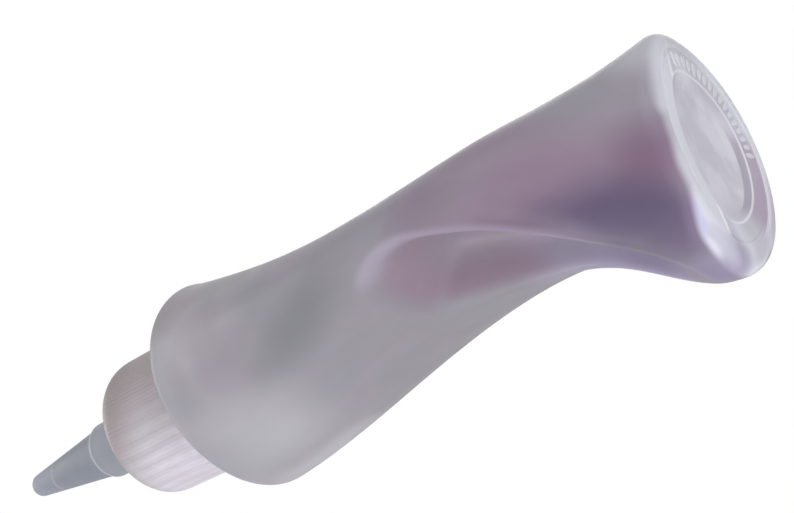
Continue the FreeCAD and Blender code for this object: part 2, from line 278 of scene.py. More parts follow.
def fromAxis(nodes):
    # a point's axes and angle, how far from the middle it is, and which way is outwards
    axes = nodes.axes(nodes.add("GeometryNodeInputPosition").outputs[0])
    angle = nodes.maths("ARCTAN2", axes["Y"], axes["X"])
    flat = nodes.add("ShaderNodeCombineXYZ", axes["X"], axes["Y"], 0.0).outputs[0]
    return axes, angle, nodes.vector("LENGTH", flat), nodes.vector("NORMALIZE", flat)


def runTree(piece, tree, values):
    modifier = piece.modifiers.new(tree.name, "NODES")
    modifier.node_group = tree
    for item in tree.interface.items_tree:
        if item.in_out == "INPUT" and item.name in values:
            modifier[item.identifier] = float(values[item.name])


def newMaterial(name):
    material = bpy.data.materials.new(name)
    material.use_nodes = True
    material.node_tree.nodes.clear()
    nodes = Nodes(material.node_tree)
    return material, nodes, nodes.add("ShaderNodeTexCoord").outputs["Object"]


def mixColour(nodes, share, first, second, blend="MIX"):
    made = nodes.add("ShaderNodeMix", named={0: share, 6: first, 7: second},
                     data_type="RGBA", blend_type=blend)
    return made.outputs[2]


def washed(nodes, colour, tone, *shares):
    # a tone laid over the colour, as strongly as the shares make together
    return mixColour(nodes, nodes.times(*shares), colour, screenColour(*tone))


def cloud(nodes, place, scale, detail=2.0, stretch=(1, 1, 1)):
    mapped = nodes.add("ShaderNodeMapping", place, named={"Scale": stretch}).outputs[0]
    noise = nodes.add("ShaderNodeTexNoise",
                      named={"Vector": mapped, "Scale": scale, "Detail": detail})
    return noise.outputs["Fac"]


def clouded(nodes, place, colour, patches):
    share = nodes.softStep(cloud(nodes, place, patches["scale"], patches["detail"]),
                           *patches["range"])
    return washed(nodes, colour, patches["colour"], share, patches["strength"])


def spot(nodes, place, centre, size, edge, lean=(0, 0, 0)):
    # 1 in the middle of a soft oval patch, 0 outside it
    mapped = nodes.add("ShaderNodeMapping", place, vector_type="TEXTURE", named={
        "Location": [part * mm for part in centre],
        "Rotation": [math.radians(part) for part in lean],
        "Scale": [part * mm for part in size]}).outputs[0]
    return nodes.softStep(nodes.vector("LENGTH", mapped), 1.0, edge)


def tinted(nodes, place, colour, chosen):
    for centre, size, edge, strength, tone, *lean in chosen.values():
        patch = spot(nodes, place, centre, size, edge, *lean)
        colour = washed(nodes, colour, tone, patch, strength)
    return colour


def plasticShader(nodes, place, colour, look):
    # frosted polyethylene: mostly a satin surface, with some light let through
    coarse, fine = look["grain"]
    slow = cloud(nodes, place, coarse, 2.0, look.get("grainStretch", (1, 1, 1)))
    quick = cloud(nodes, place, fine, 3.0)
    bump = nodes.add("ShaderNodeBump", named={
        "Strength": look["bump"], "Distance": 0.0004,
        "Height": nodes.scaled(quick, 0.35, slow)}).outputs[0]
    rough = nodes.add("ShaderNodeMapRange", cloud(nodes, place, look["roughScale"]), 0.3, 0.7,
                      *look["rough"]).outputs[0]
    satin = nodes.add("ShaderNodeBsdfPrincipled", named={
        "Base Color": colour, "Roughness": rough, "Specular IOR Level": look["gloss"],
        "Normal": bump}).outputs[0]
    through = nodes.add("ShaderNodeBsdfTranslucent",
                        named={"Color": colour, "Normal": bump}).outputs[0]
    frosted = nodes.add("ShaderNodeMixShader", look["milky"], satin, through).outputs[0]
    clear = nodes.add("ShaderNodeBsdfTransparent").outputs[0]
    thin = nodes.add("ShaderNodeMixShader", look["clear"], frosted, clear).outputs[0]
    nodes.add("ShaderNodeOutputMaterial", thin)


bottleLook = {
    "wall": (160, 156, 163), "shoulder": (184, 180, 187), "shoulderRise": (0.095, 0.150),
    "driftScale": 45.0, "drift": 0.009,
    # painted shade: inside the thumb dent the wall is drawn darker and pinker
    "hollow": (166, 145, 162), "hollowStrength": 0.85, "hollowDepth": (0.06, 0.30),
    "hollowEase": (0.50, 0.95), "hollowFoot": (0.046, 0.056),
    # painted highlight along the dent's crest
    "crest": (200, 188, 212), "crestStrength": 0.42, "crestOuter": (1.42, 0.96),
    "crestInner": (0.40, 0.76), "crestSide": (-0.1, 0.35), "crestFoot": (0.018, 0.030),
    "crestSpread": 0.15, "crestSpreadFoot": (0.062, 0.050),
    "foot": (231, 234, 240), "base": (230, 230, 236), "baseDark": (214, 214, 222),
    "baseEdge": (18.0, 16.0), "baseTop": (0.0050, 0.0044), "ringTop": (0.0060, 0.0045),
    "footTop": (0.0055, 0.0045), "footEdge": (24.6, 24.4), "marble": (0.40, 0.62),
    "marbleScale": 190.0, "farSide": ((-13, 14, 0), (17, 15, 8), 0.5),
    "seam": (0.75, 0.74, 0.8, 1), "seamStrength": 0.45, "seamTurn": -3.0, "seamWidth": 0.0011,
    "seamTop": (0.160, 0.156), "streakScale": 260.0, "streakStrength": 0.10,
    "gloss": 0.42, "milky": 0.48, "clear": 0.05, "bump": 0.12, "grain": (180.0, 1500.0),
    "grainStretch": (1, 1, 0.25), "roughScale": 90.0, "rough": (0.36, 0.50)}

bottleClouds = {
    "cool": {"scale": 34.0, "detail": 2.0, "range": (0.42, 0.62), "strength": 0.45,
             "colour": (156, 158, 164)},
    "fleck": {"scale": 55.0, "detail": 1.0, "range": (0.52, 0.68), "strength": 0.4,
              "colour": (170, 158, 170)}}

# each is its centre and half sizes in mm, the share of them where it reaches full strength,
# its strength and colour, and for some a lean in degrees; most are painted shade or painted light
tints = {
    # painted shade: a darker diagonal band along a fold in the wall
    "foldShade": ((7, -33, 95), (9, 13, 33), 0.1, 0.8, (132, 134, 138), (-11, -20, 0)),
    # painted light: a paler patch low on the shoulder
    "glow": ((-13, -22, 130), (25, 20, 29), 0.1, 0.5, (209, 209, 213)),
    # painted light: lightens the lower edge that the lamps leave darker
    "undersideLight": ((-27, 2, 134), (9, 17, 24), 0.2, 0.5, (220, 219, 224)),
    # painted shade: darker along the upper edge of the wall
    "upperEdgeShade": ((27, -17, 126), (8, 13, 28), 0.2, 0.6, (150, 152, 150)),
    # painted shade on the upper side of the shoulder
    "shoulderShade": ((24, -14, 149), (15, 17, 19), 0.1, 0.6, (158, 151, 153)),
    # painted shade: a dark pink patch low on the front
    "pinkShade": ((9, -26, 30), (22.5, 24, 50), 0.2, 0.8, (148, 122, 145)),
    # painted shade: darker above the dent's crest
    "saddleShade": ((15, -36, 49), (8, 7, 14), 0.1, 0.5, (132, 116, 133)),
    # painted shade: a dark plum patch low on the front, and its tail
    "plumShade": ((3, -17, 5), (15, 12, 15), 0.15, 0.85, (129, 99, 125)),
    "plumTail": ((4.5, -30.5, 30), (8, 9, 15), 0.1, 0.5, (110, 92, 113), (20, 32, 0)),
    # painted shade: dark purple patches low on the front and over the heel
    "heelPurpleShade": ((-15, -17.5, 5), (11, 9, 12), 0.2, 0.85, (124, 110, 138)),
    "purpleShade": ((-4.5, -22.5, 13.5), (13, 14, 28), 0.25, 1.0, (99, 86, 115), (20, 32, 0)),
    "heelBlue": ((-25, -12, 6), (11, 9, 15), 0.2, 0.85, (151, 142, 170)),
    # painted light: a pale blue-lilac over the dent's lower flank
    "flankBlueLight": ((-15, 6, 30), (20, 12, 34), 0.3, 0.85, (188, 180, 206), (0, 25, 0)),
    # painted light: lightens the shaded inner wall at the dent's rim
    "dentRimLight": ((-2.5, 5, 52.5), (9, 8, 10), 0.1, 0.5, (190, 176, 202)),
    "apexPale": ((26, 0, 2), (13, 13, 15), 0.1, 0.8, (197, 198, 203))}

# the same for the heel and the base; heelShade and endShade are painted shade, gleamBlue and gleam
# are painted highlights
footTints = {
    "apexGrey": ((25, 11, 0), (14, 17, 8), 0.1, 0.85, (214, 214, 219)),
    "lowGrey": ((-18, 2, 0), (9, 11, 8), 0.2, 0.75, (200, 199, 206)),
    "farHeel": ((-20, 15, 0), (11, 12, 8), 0.3, 0.8, (207, 202, 213)),
    "heelLilac": ((-24, -12, 2), (9, 8, 6), 0.2, 0.9, (172, 164, 188)),
    "farBand": ((10.2, 15.8, 0), (15, 5.5, 3), 0.4, 0.85, (200, 198, 206), (0, 0, -24)),
    "heelShade": ((-18.5, -14.6, 1.2), (9, 2.4, 2.6), 0.35, 0.8, (205, 206, 219), (0, 0, -25)),
    "endShade": ((-24.6, -0.5, 0.0), (3.8, 9, 2), 0.3, 0.75, (206, 203, 214), (0, 0, -20)),
    "gleamBlue": ((-10.5, -17.2, 1.9), (9, 1.5, 1.9), 0.2, 0.8, (206, 206, 242), (0, 10, -8)),
    "gleam": ((-18.6, -15.7, 2.8), (4.2, 1.4, 1.6), 0.1, 0.7, (240, 241, 250), (0, 5, -28))}

# where the wall turns pale over the heel, with a darker fringe above it; in metres
heelLine = {
    "height": 0.0007, "rolledRise": 0.0027, "rolledX": (-0.004, -0.017),
    "rolledY": (0.004, -0.004), "dip": -0.0005, "dipStart": (-0.001, 0.006),
    "dipEnd": (0.0125, 0.0090), "blur": 0.0009, "apexBlur": 0.0006, "apexX": (0.010, 0.017),
    "fringe": (172, 148, 182), "fringeRise": (0.0038, 0.0004), "fringeY": (0.0, -0.008),
    "fringeX": (-0.019, -0.012), "least": 0.15, "more": 0.18, "moreX": (-0.004, -0.012)}

# from and to in mm from the middle; not around means only the side away from the flattened one
baseRings = {
    # painted shade on the far recess wall
    "slope": {"around": False, "from": 16.4, "to": 17.4, "soft": 0.3, "strength": 0.7,
              "colour": (166, 154, 172)},
    # painted highlight: a pale line along the recess edge
    "edge": {"around": True, "from": 17.7, "to": 18.0, "soft": 0.25, "strength": 0.7,
             "colour": (246, 246, 250)},
    # painted shade over the far side of the band
    "beltShade": {"around": False, "from": 18.3, "to": 23.2, "soft": 0.5, "strength": 0.85,
             "colour": (184, 168, 188)},
    # painted highlight: a pale line along the bead
    "bead": {"around": False, "from": 23.5, "to": 24.3, "soft": 0.25, "strength": 0.7,
             "colour": (240, 239, 246)}}

# the crease where the pressed side of the base rolls in, a wide arc seen from below: its circle
# in mm, and in metres how far its painted shade reaches to both sides and where its painted
# highlight line runs and ends
crease = {"centre": (-35.0, 86.6, 0), "radius": 98.6, "waver": 1.6, "within": (204, 202, 212),
          "withinStrength": 0.7, "shadeIn": (-0.0042, 0.0), "shadeOut": (0.0016, 0.0),
          "colour": (255, 255, 255), "lineAt": 0.0010, "lineEdge": (0.0008, 0.0003),
          "lineEnd": (-0.021, -0.016)}


def wallColour(nodes, place, height):
    look = bottleLook
    colour = washed(nodes, screenColour(*look["wall"]), look["shoulder"],
                    nodes.softStep(height, *look["shoulderRise"]))
    for patches in bottleClouds.values():
        colour = clouded(nodes, place, colour, patches)
    wander = nodes.add("ShaderNodeTexNoise", named={"Vector": place, "Scale": look["driftScale"]})
    drift = nodes.vector("SUBTRACT", wander.outputs["Color"], (0.5, 0.5, 0.5))
    loose = nodes.vector("MULTIPLY_ADD", drift, [look["drift"]] * 3, place)
    # painted shade and painted light patches from the tints table
    colour = tinted(nodes, loose, colour, tints)
    # painted shade: the thumb dent darker and pinker, easing off at its deepest and gone below
    # about 50 mm
    dent = nodes.attribute("dent")
    eased = nodes.scaled(nodes.softStep(dent, *look["hollowEase"]), -0.5, 1.0)
    colour = washed(nodes, colour, look["hollow"], nodes.softStep(dent, *look["hollowDepth"]),
                    eased, nodes.softStep(height, *look["hollowFoot"]), look["hollowStrength"])
    # painted highlight along the dent's crest, moved inwards on the flank lower down
    rim = nodes.scaled(nodes.softStep(height, *look["crestSpreadFoot"]), look["crestSpread"],
                       nodes.attribute("rim"))
    return washed(nodes, colour, look["crest"], nodes.softStep(rim, *look["crestOuter"]),
                  nodes.softStep(rim, *look["crestInner"]),
                  nodes.softStep(nodes.attribute("flank"), *look["crestSide"]),
                  nodes.softStep(height, *look["crestFoot"]), look["crestStrength"])


def aboveHeel(nodes, axes):
    # how far over the heel line a point is; the line rises where the side rolls under
    rolled = nodes.times(nodes.softStep(axes["X"], *heelLine["rolledX"]),
                         nodes.softStep(axes["Y"], *heelLine["rolledY"]))
    line = nodes.scaled(rolled, heelLine["rolledRise"], heelLine["height"])
    dip = nodes.times(nodes.softStep(axes["X"], *heelLine["dipStart"]),
                      nodes.softStep(axes["X"], *heelLine["dipEnd"]))
    return nodes.minus(axes["Z"], nodes.scaled(dip, heelLine["dip"], line))


def creased(nodes, place, axes, colour):
    centre = [part * mm for part in crease["centre"]]
    arc = nodes.vector("MULTIPLY", nodes.vector("SUBTRACT", place, centre), (1, 1, 0))
    beyond = nodes.minus(nodes.vector("LENGTH", arc), crease["radius"] * mm)
    beyond = nodes.scaled(cloud(nodes, place, 60.0, 1.0), crease["waver"] * mm, beyond)
    # painted shade on each side of the crease line
    colour = washed(nodes, colour, crease["within"], nodes.softStep(beyond, *crease["shadeIn"]),
                    nodes.softStep(beyond, *crease["shadeOut"]), crease["withinStrength"])
    # painted highlight: a white line along the crease
    away = nodes.maths("ABSOLUTE", nodes.minus(beyond, crease["lineAt"]))
    return washed(nodes, colour, crease["colour"], nodes.softStep(away, *crease["lineEdge"]),
                  nodes.softStep(axes["X"], *crease["lineEnd"]))


def heelColour(nodes, place, axes, reach):
    look = bottleLook
    mottle = cloud(nodes, place, look["marbleScale"], 3.0, (0.4, 1, 1))
    marbled = washed(nodes, screenColour(*look["base"]), look["baseDark"],
                     nodes.softStep(mottle, *look["marble"]))
    base = nodes.times(nodes.softStep(axes["Z"], *look["baseTop"]),
                       nodes.softStep(reach, *look["baseEdge"]))
    colour = mixColour(nodes, base, screenColour(*look["foot"]), marbled)
    return tinted(nodes, place, creased(nodes, place, axes, colour), footTints)


def ringed(nodes, place, height, reach, colour):
    under = nodes.softStep(height, *bottleLook["ringTop"])
    farSide = nodes.times(under, spot(nodes, place, *bottleLook["farSide"]))
    # the slope and belt rings paint shade, the edge and bead rings paint highlights
    for ring in baseRings.values():
        colour = washed(nodes, colour, ring["colour"],
                        nodes.softStep(reach, ring["from"] - ring["soft"], ring["from"]),
                        nodes.softStep(reach, ring["to"] + ring["soft"], ring["to"]),
                        under if ring["around"] else farSide, ring["strength"])
    return colour


def bottlePlastic():
    look = bottleLook
    material, nodes, place = newMaterial("frostedBottle")
    axes = nodes.axes(place)
    height = axes["Z"]
    colour = wallColour(nodes, place, height)
    above = aboveHeel(nodes, axes)
    strength = nodes.scaled(nodes.softStep(axes["X"], *heelLine["moreX"]), heelLine["more"],
                            heelLine["least"])
    colour = washed(nodes, colour, heelLine["fringe"],
                    nodes.softStep(above, *heelLine["fringeRise"]),
                    nodes.softStep(axes["Y"], *heelLine["fringeY"]),
                    nodes.softStep(axes["X"], *heelLine["fringeX"]), strength)
    blur = nodes.scaled(nodes.softStep(axes["X"], *heelLine["apexX"]), heelLine["apexBlur"],
                        heelLine["blur"])
    foot = nodes.softStep(above, blur, nodes.times(blur, -1))
    reach = nodes.attribute("reach")
    inner = nodes.times(nodes.softStep(height, *look["footTop"]),
                        nodes.softStep(reach, *look["footEdge"]))
    colour = mixColour(nodes, nodes.maths("MAXIMUM", foot, inner), colour,
                       heelColour(nodes, place, axes, reach))
    colour = ringed(nodes, place, height, reach, colour)
    halfTurns = nodes.scaled(nodes.turnAround(), 2.0, 0.5 - look["seamTurn"] / 180)
    fromSeam = nodes.maths("ABSOLUTE", nodes.minus(nodes.maths("FRACT", halfTurns), 0.5))
    seam = nodes.times(nodes.softStep(fromSeam, 2 * look["seamWidth"], 0.0),
                       nodes.softStep(height, *look["seamTop"]), look["seamStrength"])
    colour = mixColour(nodes, seam, colour, look["seam"])
    streaks = cloud(nodes, place, look["streakScale"], 2.0, (1, 1, 0.06))
    colour = mixColour(nodes, nodes.times(streaks, look["streakStrength"]), colour,
                       (1, 1, 1, 1), "SOFT_LIGHT")
    plasticShader(nodes, place, colour, look)
    return material


capLook = {
    "low": (244, 242, 251), "high": (234, 226, 237), "skirt": (0.0193, 0.0198),
    "rootShade": (228, 222, 231), "rootStrength": 0.15, "ribRoot": 19.92, "ribTop": 20.15,
    "streak": (214, 207, 217), "streakCount": 31.0, "streakDrift": 0.5,
    # painted shade round the top edge, and shade painted on one side
    "edge": (188, 183, 191), "edgeStrength": 0.75, "edgeDrop": (0.0045, 0.0008),
    "shade": (163, 151, 152), "shadeRange": (-0.016, 0.018), "shadeStrength": 0.83,
    "endDrop": (0.016, 0.002), "endShift": 0.007, "endStrength": 0.17,
    "gloss": 0.5, "milky": 0.36, "clear": 0.03, "bump": 0.08, "grain": (240.0, 1800.0),
    "roughScale": 130.0, "rough": (0.30, 0.42)}


def capPlastic():
    look = capLook
    material, nodes, place = newMaterial("ribbedCap")
    axes = nodes.axes(place)
    across = nodes.times(axes["X"], axes["X"])
    radius = nodes.maths("SQRT", nodes.scaled(axes["Y"], axes["Y"], across))
    colour = washed(nodes, screenColour(*look["high"]), look["low"],
                    nodes.softStep(cloud(nodes, place, 60.0), 0.35, 0.65))
    # painted shade in the roots between the ribs
    crest = nodes.softStep(radius, look["ribRoot"] * mm, look["ribTop"] * mm)
    skirt = nodes.softStep(radius, *look["skirt"])
    colour = washed(nodes, colour, look["rootShade"], nodes.minus(1.0, crest), skirt,
                    look["rootStrength"])
    drifted = nodes.scaled(nodes.turnAround(), look["streakCount"],
                           nodes.times(cloud(nodes, place, 60.0, 0.0), look["streakDrift"]))
    wave = nodes.maths("ABSOLUTE", nodes.minus(nodes.maths("FRACT", drifted), 0.5))
    colour = washed(nodes, colour, look["streak"], nodes.softStep(wave, 0.42, 0.06),
                    cloud(nodes, place, 90.0), skirt)
    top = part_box("cap")[1].z
    # painted shade: darker round the rounded top edge of the cap
    edge = nodes.softStep(axes["Z"], *(top - drop for drop in look["edgeDrop"]))
    colour = washed(nodes, colour, look["edge"], edge, look["edgeStrength"])
    end = nodes.softStep(axes["Z"], *(top - drop for drop in look["endDrop"]))
    shade = nodes.softStep(nodes.scaled(end, look["endShift"], axes["X"]), *look["shadeRange"])
    colour = washed(nodes, colour, look["shade"], shade,
                    nodes.scaled(end, look["endStrength"], look["shadeStrength"]))
    plasticShader(nodes, place, colour, look)
    return material


# rings are painted highlight lines: how far over the cap or under the tip, half the width and the
# strength
nozzleLook = {
    "collar": (166, 168, 176), "cone": (145, 150, 160), "coneRise": (0.204, 0.212),
    "tip": (165, 168, 180), "tipRise": (0.225, 0.245), "ring": (222, 224, 232),
    "overCap": (0.0209, 0.0010, 0.5), "underTip": (-0.0131, 0.0009, 0.25),
    "warm": {"scale": 70.0, "detail": 2.0, "range": (0.45, 0.65), "strength": 0.3,
             "colour": (160, 160, 168)},
    "gloss": 0.3, "milky": 0.40, "clear": 0.06, "bump": 0.06, "grain": (300.0, 2000.0),
    "roughScale": 150.0, "rough": (0.42, 0.54)}


def nozzlePlastic():
    look = nozzleLook
    material, nodes, place = newMaterial("satinNozzle")
    height = nodes.axes(place)["Z"]
    colour = washed(nodes, screenColour(*look["collar"]), look["cone"],
                    nodes.softStep(height, *look["coneRise"]))
    colour = washed(nodes, colour, look["tip"], nodes.softStep(height, *look["tipRise"]))
    colour = clouded(nodes, place, colour, look["warm"])
    # painted highlights: pale rings at the collar step and at the mark under the tip
    for node, ring in (("cap", look["overCap"]), ("nozzle", look["underTip"])):
        offset, half, strength = ring
        away = nodes.maths("ABSOLUTE", nodes.minus(height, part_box(node)[1].z + offset))
        colour = washed(nodes, colour, look["ring"], nodes.softStep(away, half, half * 0.2),
                        strength)
    plasticShader(nodes, place, colour, look)
    return material


plainLook = {"darker": 0.8, "gloss": 0.3, "milky": 0.45, "clear": 0.75, "bump": 0.1,
             "grain": (200.0, 1500.0), "roughScale": 120.0, "rough": (0.40, 0.55)}


def plainPlastic(name, colour, **changes):
    # the same plastic seen from the hollow, clearer so that a wall counts once
    look = {**plainLook, **changes}
    material, nodes, place = newMaterial(name)
    pale = screenColour(*colour)
    shade = [part * look["darker"] for part in pale[:3]] + [1]
    plasticShader(nodes, place, mixColour(nodes, cloud(nodes, place, 60.0), pale, shade), look)
    return material


bottleMaterial = bottlePlastic()
bottleInside = plainPlastic("frostedInside", (225, 222, 230))
markMaterial = plainPlastic("raisedMarks", (240, 240, 245), clear=0.03)
capInside = plainPlastic("capInside", (236, 232, 240))
nozzleInside = plainPlastic("nozzleInside", (190, 194, 204))
capMaterial = capPlastic()
nozzleMaterial = nozzlePlastic()
print("plastics mixed")


def threadTree(material):
    nodes, entry = newTree("screwThread", ["Pitch", "Depth", "Width", "Foot", "Top",
                                           "Least Radius", "Most Radius", "Turn"])
    axes, angle, radius, outward = fromAxis(nodes)
    turns = nodes.maths("ADD", nodes.maths("DIVIDE", angle, 2 * math.pi), entry["Turn"])
    climbed = nodes.minus(nodes.maths("DIVIDE", axes["Z"], entry["Pitch"]), turns)
    offCentre = nodes.minus(nodes.maths("FRACT", climbed), 0.5)
    away = nodes.times(offCentre, entry["Pitch"])
    crest = nodes.minus(axes["Z"], away)
    halfWidth = nodes.times(entry["Width"], 0.5)
    profile = nodes.softStep(nodes.maths("ABSOLUTE", away), halfWidth, nodes.times(halfWidth, 0.3))
    runLength = 0.0011  # over which the thread rises at its foot and dies away at its top
    runIn = nodes.softStep(crest, entry["Foot"], nodes.maths("ADD", entry["Foot"], runLength))
    runOut = nodes.softStep(crest, entry["Top"], nodes.minus(entry["Top"], runLength))
    within = nodes.times(nodes.maths("GREATER_THAN", radius, entry["Least Radius"]),
                         nodes.maths("LESS_THAN", radius, entry["Most Radius"]))
    lift = nodes.times(nodes.times(profile, entry["Depth"]), nodes.times(runIn, runOut), within)
    return endRaised(nodes, entry["Geometry"], outward, lift, material)


bottle = {
    "bodyRadius": 29.0, "bodyHeight": 148.5, "wall": 1.0, "baseWall": 1.4, "heelRadius": 4.4,
    "shoulderRounding": 4.8, "shoulderSlope": 32.3, "shoulderLand": 0.6, "neckRadius": 17.5,
    "neckWall": 1.7, "lip": 0.45, "ringWidth": 1.2, "bandDepth": 0.3, "bandWidth": 5.6,
    "pushUpDepth": 2.6, "pushUpWidth": 2.7, "domeRise": 1.4, "beadHeight": 0.14,
    "capSkirt": 19.9, "backPush": 6.5, "backSpread": 0.8, "frontPush": 14.5, "frontSkew": 0.7,
    "frontSpread": 1.3, "frontRise": 49.0, "sideBulge": 0.7474, "sideLean": 42.0,
    "oval": 0.0658, "ovalAngle": -30.0, "thumbDepth": 21.75, "thumbAngle": -95.0,
    "thumbHeight": 62.35, "thumbLean": 31.0, "thumbHalfWidth": 19.1, "thumbTipLength": 14.5,
    "thumbLength": 36.7, "thumbRunout": 30.0, "thumbPushAngle": 75.0, "thumbFoot": 17.8,
    "footPress": 11.5, "footPressAngle": -70.0, "footPressReach": 8.0, "footPressHeight": 40.0,
    "columns": 192, "heelRows": 12, "wallRows": 96, "shoulderRows": 10, "slopeRows": 12}

shoulderTurn = math.radians(bottle["shoulderSlope"])
arcHeight = bottle["bodyHeight"] + bottle["shoulderRounding"] * math.cos(shoulderTurn)
arcRadius = bottle["bodyRadius"] - bottle["shoulderRounding"] * (1 - math.sin(shoulderTurn))
landRadius = bottle["neckRadius"] + bottle["shoulderLand"]
landHeight = arcHeight + (arcRadius - landRadius) * math.tan(shoulderTurn)
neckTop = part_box("bottle")[1].z / mm


def thumbDent(angle, height, share):
    turn = angle - math.radians(bottle["thumbAngle"])
    turn = np.arctan2(np.sin(turn), np.cos(turn))
    around = bottle["bodyRadius"] * turn
    rise = height - bottle["thumbHeight"]
    lean = math.radians(bottle["thumbLean"])
    below = -rise * math.cos(lean) - around * math.sin(lean)
    beside = around * math.cos(lean) - rise * math.sin(lean)
    past = np.where(below < 0, -below / bottle["thumbTipLength"],
                    np.maximum(below - bottle["thumbLength"], 0) / bottle["thumbRunout"])
    reach = (beside / bottle["thumbHalfWidth"]) ** 2 + past ** 2
    fade = smooth(height / bottle["thumbFoot"]) * smooth((1 - share) * 10)
    deep = np.maximum(1 - reach, 0) ** 2 * fade
    return deep, beside / bottle["thumbHalfWidth"], np.minimum(reach, 3)


def squeezedRing(radius, height, level=None):
    # one ring of the bottle, pushed out of round as the hand holds it
    at = height if level is None else level
    count = bottle["columns"]
    angle = np.arange(count) * 2 * math.pi / count
    body = bottle["bodyRadius"]
    share = min(max(at / bottle["bodyHeight"], 0.0), 1.0)
    back = bottle["backPush"] * math.sin(math.pi * share) ** bottle["backSpread"]
    crest = max(math.sin(math.pi * share ** bottle["frontSkew"]), 0.0)
    front = bottle["frontPush"] * crest ** bottle["frontSpread"] * smooth(at / bottle["frontRise"])
    narrower = (back + front) / 2
    squeeze = 2 * narrower / (bottle["backPush"] + bottle["frontPush"])
    lean = math.radians(bottle["sideLean"]) * squeeze
    near = (radius - bottle["capSkirt"]) / (arcRadius - bottle["capSkirt"])
    oval = bottle["oval"] * smooth((share - 0.55) / 0.4) * min(max(near, 0.0), 1.0)
    stretch = 1 + oval * np.cos(2 * (angle - math.radians(bottle["ovalAngle"])))
    x = radius * stretch * (1 - narrower / body) * np.cos(angle) + (front - back) / 2
    y = radius * stretch * (1 + bottle["sideBulge"] * narrower / body) * np.sin(angle - lean)
    deep, flank, rim = thumbDent(angle, at, share)
    dent = bottle["thumbDepth"] * deep
    push = math.radians(bottle["thumbPushAngle"])
    x += dent * math.cos(push)
    y += dent * math.sin(push)
    side = math.radians(bottle["footPressAngle"])
    towards = x * math.cos(side) + y * math.sin(side)
    felt = smooth((towards + bottle["footPressReach"]) / (body + bottle["footPressReach"]))
    inward = bottle["footPress"] * felt * (1 - smooth(at / bottle["footPressHeight"]))
    x -= inward * math.cos(side)
    y -= inward * math.sin(side)
    flat = np.zeros(count)
    return np.stack([x, y, flat + height, deep, flank, rim, flat + radius], 1)


def movedIn(rings, distance):
    # the same rings, a wall's thickness further in
    inner = []
    for row in range(1, len(rings) - 1):
        places = rings[row][:, :3]
        around = np.roll(places, -1, 0) - np.roll(places, 1, 0)
        upward = (rings[row + 1] - rings[row - 1])[:, :3]
        outward = np.cross(around, upward)
        outward /= np.linalg.norm(outward, axis=1)[:, None]
        inner.append(np.column_stack([places - outward * distance, rings[row][:, 3:]]))
    return inner


def buildBottle():
    ringOuter = bottle["bodyRadius"] - bottle["heelRadius"]
    ringInner = ringOuter - bottle["ringWidth"]
    bandInner = ringInner - bottle["bandWidth"]
    dome = bandInner - bottle["pushUpWidth"]
    domeFoot, domeTop = bottle["pushUpDepth"], bottle["pushUpDepth"] + bottle["domeRise"]
    band, baseWall = bottle["bandDepth"], bottle["baseWall"]
    bead = band + bottle["beadHeight"]

    def domeRow(share, lift, spread):
        return (dome + spread) * share, domeFoot + lift + bottle["domeRise"] * (1 - share ** 2)

    under = [(*domeRow(share, 0, 0), 0) for share in np.linspace(0.05, 0.9, 12)]
    under += [(dome, domeFoot, 1.6), (bandInner, band, 0.7), (ringInner - 1.3, band, 0.15),
              (ringInner - 1.1, bead, 0.1), (ringInner - 0.7, bead, 0.1),
              (ringInner - 0.5, band, 0.15), (ringInner, band, 0.14), (ringInner + 0.12, 0, 0.1),
              (ringOuter, 0, 0)]
    rings = [squeezedRing(radius, height, 0)
             for radius, height in divided(softCorners(under), 1.2)]

    heel, rounding = bottle["heelRadius"], bottle["shoulderRounding"]
    shell = [(ringOuter + heel * math.sin(turn), heel * (1 - math.cos(turn)))
             for turn in stepsTo(0, math.pi / 2, bottle["heelRows"])]
    shell += [(bottle["bodyRadius"], height)
              for height in stepsTo(heel, bottle["bodyHeight"], bottle["wallRows"])]
    shell += [(bottle["bodyRadius"] - rounding * (1 - math.cos(turn)),
               bottle["bodyHeight"] + rounding * math.sin(turn))
              for turn in stepsTo(0, math.pi / 2 - shoulderTurn, bottle["shoulderRows"])]
    shell += [(arcRadius + (landRadius - arcRadius) * share,
               arcHeight + (landHeight - arcHeight) * share)
              for share in stepsTo(0, 1, bottle["slopeRows"])]
    shellRings = [squeezedRing(radius, height) for radius, height in shell]
    rings += shellRings

    neck, bore = bottle["neckRadius"], bottle["neckRadius"] - bottle["neckWall"]
    collar = [(landRadius, landHeight, 0), (neck, landHeight + 0.25, 0.3),
              (neck, neckTop, bottle["lip"]), (bore, neckTop, bottle["lip"]),
              (bore, landHeight - 0.3, 0.6), (bore + 0.9, landHeight - 0.75, 0)]
    threaded = {"from": 159.0, "to": 182.0, "rows": 0.36, "radius": neck}
    collarRows = divided(softCorners(collar), 2.0, threaded)[1:]
    insideFrom = len(rings) + next(
        index for index, row in enumerate(collarRows) if row[0] < bore + 0.01)
    rings += [ringOf(radius, height, bottle["columns"]) for radius, height in collarRows]

    inside = movedIn(shellRings, bottle["wall"])
    inside = [ring for ring in inside if ring[:, 2].min() > band + baseWall + 0.3]
    # every other ring is enough inside the plain wall
    slim = [ring for index, ring in enumerate(inside) if index < 8 or index > 98 or index % 2]
    rings += slim[::-1]
    floor = [(ringOuter + 1.1, band + baseWall, 0), (bandInner + baseWall, band + baseWall, 0.8),
             (dome + baseWall, domeFoot + baseWall, 1.2)]
    floor += [(*domeRow(share, baseWall, baseWall), 0) for share in np.linspace(0.88, 0.05, 8)]
    rings += [squeezedRing(radius, height, 0)
              for radius, height in divided(softCorners(floor), 2.0)]
    return meshFromRings("squeezedBottle", rings, insideFrom,
                         [(0, 0, domeTop), (0, 0, domeTop + baseWall)])


neckThread = {"Pitch": 0.00423, "Depth": 0.0011, "Width": 0.0019, "Foot": 0.1612,
              "Top": 0.1806, "Least Radius": 0.0170, "Most Radius": 0.0178, "Turn": 0.0}

